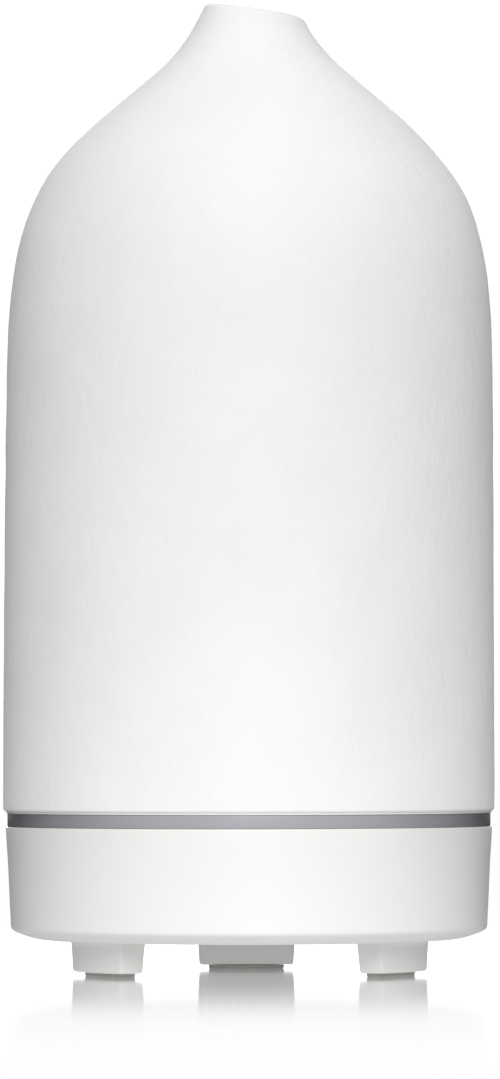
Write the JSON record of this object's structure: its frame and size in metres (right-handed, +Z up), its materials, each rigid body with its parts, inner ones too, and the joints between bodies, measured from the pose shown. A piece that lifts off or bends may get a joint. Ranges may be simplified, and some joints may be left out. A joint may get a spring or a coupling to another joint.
{
  "type": "essential oil diffuser",
  "caption": "Ultrasonic essential oil diffuser: a matte ceramic bell cover with a slant-cut nozzle lifts off a water tank on a white base with a smoke light ring and block feet.",
  "frame": {"origin": "centre of the footprint, under the cover's axis, at the undersides of the foot pads", "axes": "+Z up along the cover's axis; -Y is the front as pictured; +Y is the rear with the power inlet and the buttons"},
  "size_m": [0.0895, 0.0894, 0.1773],
  "materials": {
    "ceramic": "matte, unglazed",
    "silicone": "satin silicone",
    "frosted": "frosted translucent polypropylene",
    "smoke_ring": "smoke-tinted translucent",
    "white_board": "white solder mask",
    "led": "clear over phosphor",
    "base_plastic": "satin warm white",
    "pad_rubber": "matte grey",
    "steel": "bright zinc",
    "brass": "satin",
    "white_plastic": "satin",
    "black_plastic": "satin black",
    "copper": "enamelled copper",
    "magnet": "matte ferrite",
    "green_board": "green solder mask",
    "capacitor_sleeve": "shrink sleeve",
    "aluminium": "plain extruded",
    "cream_plastic": "satin",
    "lead_red": "insulation",
    "lead_white": "insulation",
    "lead_blue": "insulation"
  },
  "bodies": {
    "base": {"water_tank": "frosted", "air_chimney": "frosted", "light_ring": "smoke_ring", "led_board": "white_board", "leds": "led", "base_shell": "base_plastic", "foot_pad_rear": "pad_rubber", "foot_pad_front_left": "pad_rubber", "foot_pad_front_right": "pad_rubber", "housing_screws": "steel", "transducer_disc": "brass", "transducer_gasket": "silicone", "transducer_retainer": "white_plastic", "retainer_screws": "steel", "fan_frame": "black_plastic", "fan_stator": "copper", "fan_screws": "steel", "main_board": "green_board", "board_screws": "steel", "dc_jack": "black_plastic", "dc_jack_pin": "steel", "capacitor": "capacitor_sleeve", "inductor_core": "magnet", "inductor_winding": "copper", "controller_chip": "black_plastic", "chip_leads": "steel", "power_transistor": "black_plastic", "heat_sink": "aluminium", "connectors": "cream_plastic", "mist_switch": "black_plastic", "light_switch": "black_plastic", "fan_leads": "lead_red", "transducer_leads": "lead_white", "led_leads": "lead_blue"},
    "seat_ring": {"cover_seat_ring": "silicone"},
    "cover": {"ceramic_cover": "ceramic"},
    "lid": {"inner_cover": "frosted"},
    "mist_key": {"mist_button": "base_plastic", "mist_plunger": "black_plastic"},
    "light_key": {"light_button": "base_plastic", "light_plunger": "black_plastic"},
    "fan": {"fan_rotor": "black_plastic", "fan_magnet": "magnet", "fan_shaft": "steel"}
  },
  "joints": [
    {"name": "cover_turn", "type": "hinge", "parent": "base", "child": "seat_ring", "pos_m": [0, 0, 0.02925], "axis": [0, 0, 1], "continuous": true},
    {"name": "cover_lift", "type": "slide", "parent": "seat_ring", "child": "cover", "axis": [0, 0, 1], "range_m": [0, 0.15]},
    {"name": "lid_lift", "type": "slide", "parent": "base", "child": "lid", "axis": [0, 0, 1], "range_m": [0, 0.02]},
    {"name": "mist_button_press", "type": "slide", "parent": "base", "child": "mist_key", "axis": [0.309, -0.9511, 0], "range_m": [0, 0.0005], "stiffness_N_per_m": 1200, "springref_m": -0.0006},
    {"name": "light_button_press", "type": "slide", "parent": "base", "child": "light_key", "axis": [-0.309, -0.9511, 0], "range_m": [0, 0.0005], "stiffness_N_per_m": 1200, "springref_m": -0.0006},
    {"name": "fan_spin", "type": "hinge", "parent": "base", "child": "fan", "pos_m": [0, -0.0245, 0.013], "axis": [0, 0, 1], "continuous": true}
  ]
}
